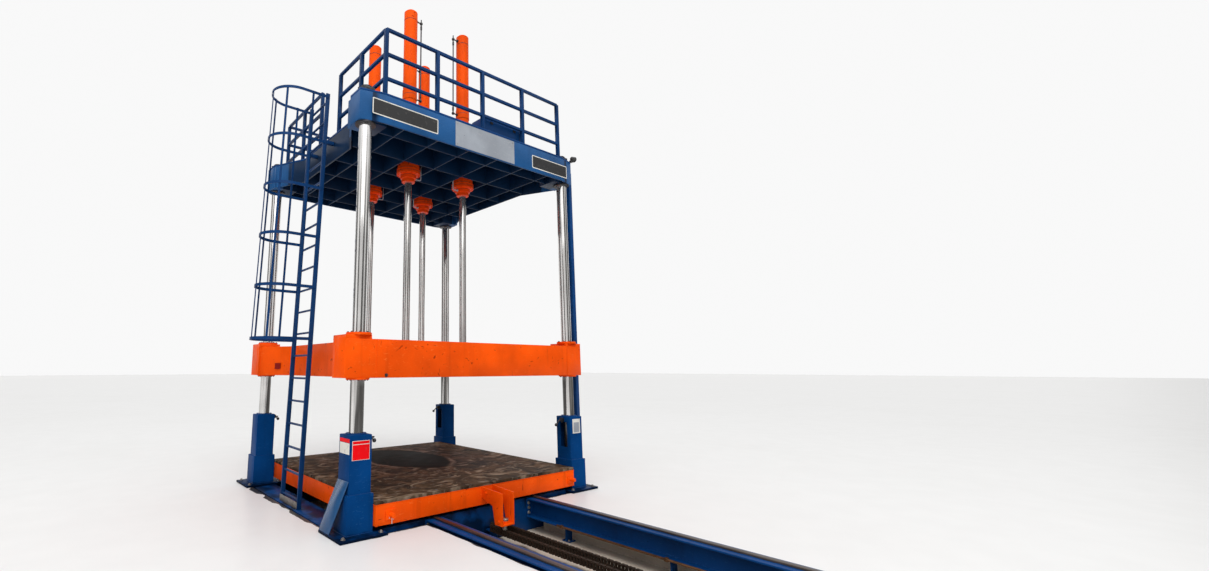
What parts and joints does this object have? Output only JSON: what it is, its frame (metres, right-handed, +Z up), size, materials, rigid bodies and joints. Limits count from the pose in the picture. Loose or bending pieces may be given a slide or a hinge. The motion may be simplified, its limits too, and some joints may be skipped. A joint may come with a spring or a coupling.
{
  "type": "hydraulic press",
  "caption": "Four-column hydraulic press with overhead cylinders, a guided platen, a chain-drawn rolling table on floor rails, a railed deck and a caged ladder.",
  "frame": {"origin": "midway between the four columns, on the pit floor that the base frame stands on", "axes": "+Z up along the columns; +X to the right along the press's front; +Y to the rear, away from the side where the table rolls out"},
  "size_m": [4.6686, 7.919, 7.874],
  "materials": {
    "blue_paint": "semi-gloss",
    "orange_paint": "semi-gloss",
    "hard_chrome": "polished",
    "bare_steel": "dull",
    "dark_steel": "oiled",
    "cast_housings": "dull",
    "black_plastic": "matte"
  },
  "bodies": {
    "frame": {"base_frame": "blue_paint", "chain_wheels": "bare_steel", "column_front_left": "hard_chrome", "column_front_right": "hard_chrome", "column_nuts": "bare_steel", "column_rear_left": "hard_chrome", "column_rear_right": "hard_chrome", "crown_deck": "blue_paint", "crown_frame": "blue_paint", "cylinder_barrel_front_left": "orange_paint", "cylinder_barrel_front_right": "orange_paint", "cylinder_barrel_rear_left": "orange_paint", "cylinder_barrel_rear_right": "orange_paint", "cylinder_glands": "orange_paint", "cylinder_pipes": "orange_paint", "deck_box": "blue_paint", "drive_chain": "bare_steel", "drive_housing": "blue_paint", "hose_duct": "blue_paint", "idler_bracket": "blue_paint", "ladder": "blue_paint", "ladder_brackets": "blue_paint", "ladder_cage": "blue_paint", "leaning_cover": "blue_paint", "limit_switches": "black_plastic", "post_front_left": "blue_paint", "post_front_right": "blue_paint", "post_rear_left": "blue_paint", "post_rear_right": "blue_paint", "rail_beam_left": "blue_paint", "rail_beam_right": "blue_paint", "rail_end_stops": "blue_paint", "rail_stools": "blue_paint", "rail_strips": "bare_steel", "railing_front": "blue_paint", "railing_rear": "blue_paint", "railing_side_front": "blue_paint", "railing_side_rear": "blue_paint", "service_pipe": "blue_paint", "wheel_shafts": "bare_steel"},
    "platen": {"platen": "orange_paint", "platen_rings": "orange_paint", "rod_feet": "orange_paint", "piston_rod_front_left": "hard_chrome", "piston_rod_front_right": "hard_chrome", "piston_rod_rear_left": "hard_chrome", "piston_rod_rear_right": "hard_chrome"},
    "table": {"table_frame": "orange_paint", "table_top": "dark_steel", "tow_clevis": "orange_paint", "tow_dog": "orange_paint", "table_lugs": "orange_paint", "axle_bearings": "cast_housings"},
    "wheelset_front": {"wheelset_front": "bare_steel"},
    "wheelset_rear": {"wheelset_rear": "bare_steel"}
  },
  "joints": [
    {"name": "platen_slide", "type": "slide", "parent": "frame", "child": "platen", "axis": [0, 0, 1], "range_m": [-0.57, 1.66]},
    {"name": "table_slide", "type": "slide", "parent": "frame", "child": "table", "axis": [0, -1, 0], "range_m": [0, 3.4]},
    {"name": "wheels_front_turn", "type": "hinge", "parent": "table", "child": "wheelset_front", "pos_m": [0, -1.265, 0.534], "axis": [1, 0, 0], "continuous": true},
    {"name": "wheels_rear_turn", "type": "hinge", "parent": "table", "child": "wheelset_rear", "pos_m": [0, 1.035, 0.534], "axis": [1, 0, 0], "continuous": true}
  ],
  "couplings": [
    {"joint": "wheels_front_turn", "follows": "table_slide", "rad_per_m": 10},
    {"joint": "wheels_rear_turn", "follows": "table_slide", "rad_per_m": 10}
  ]
}
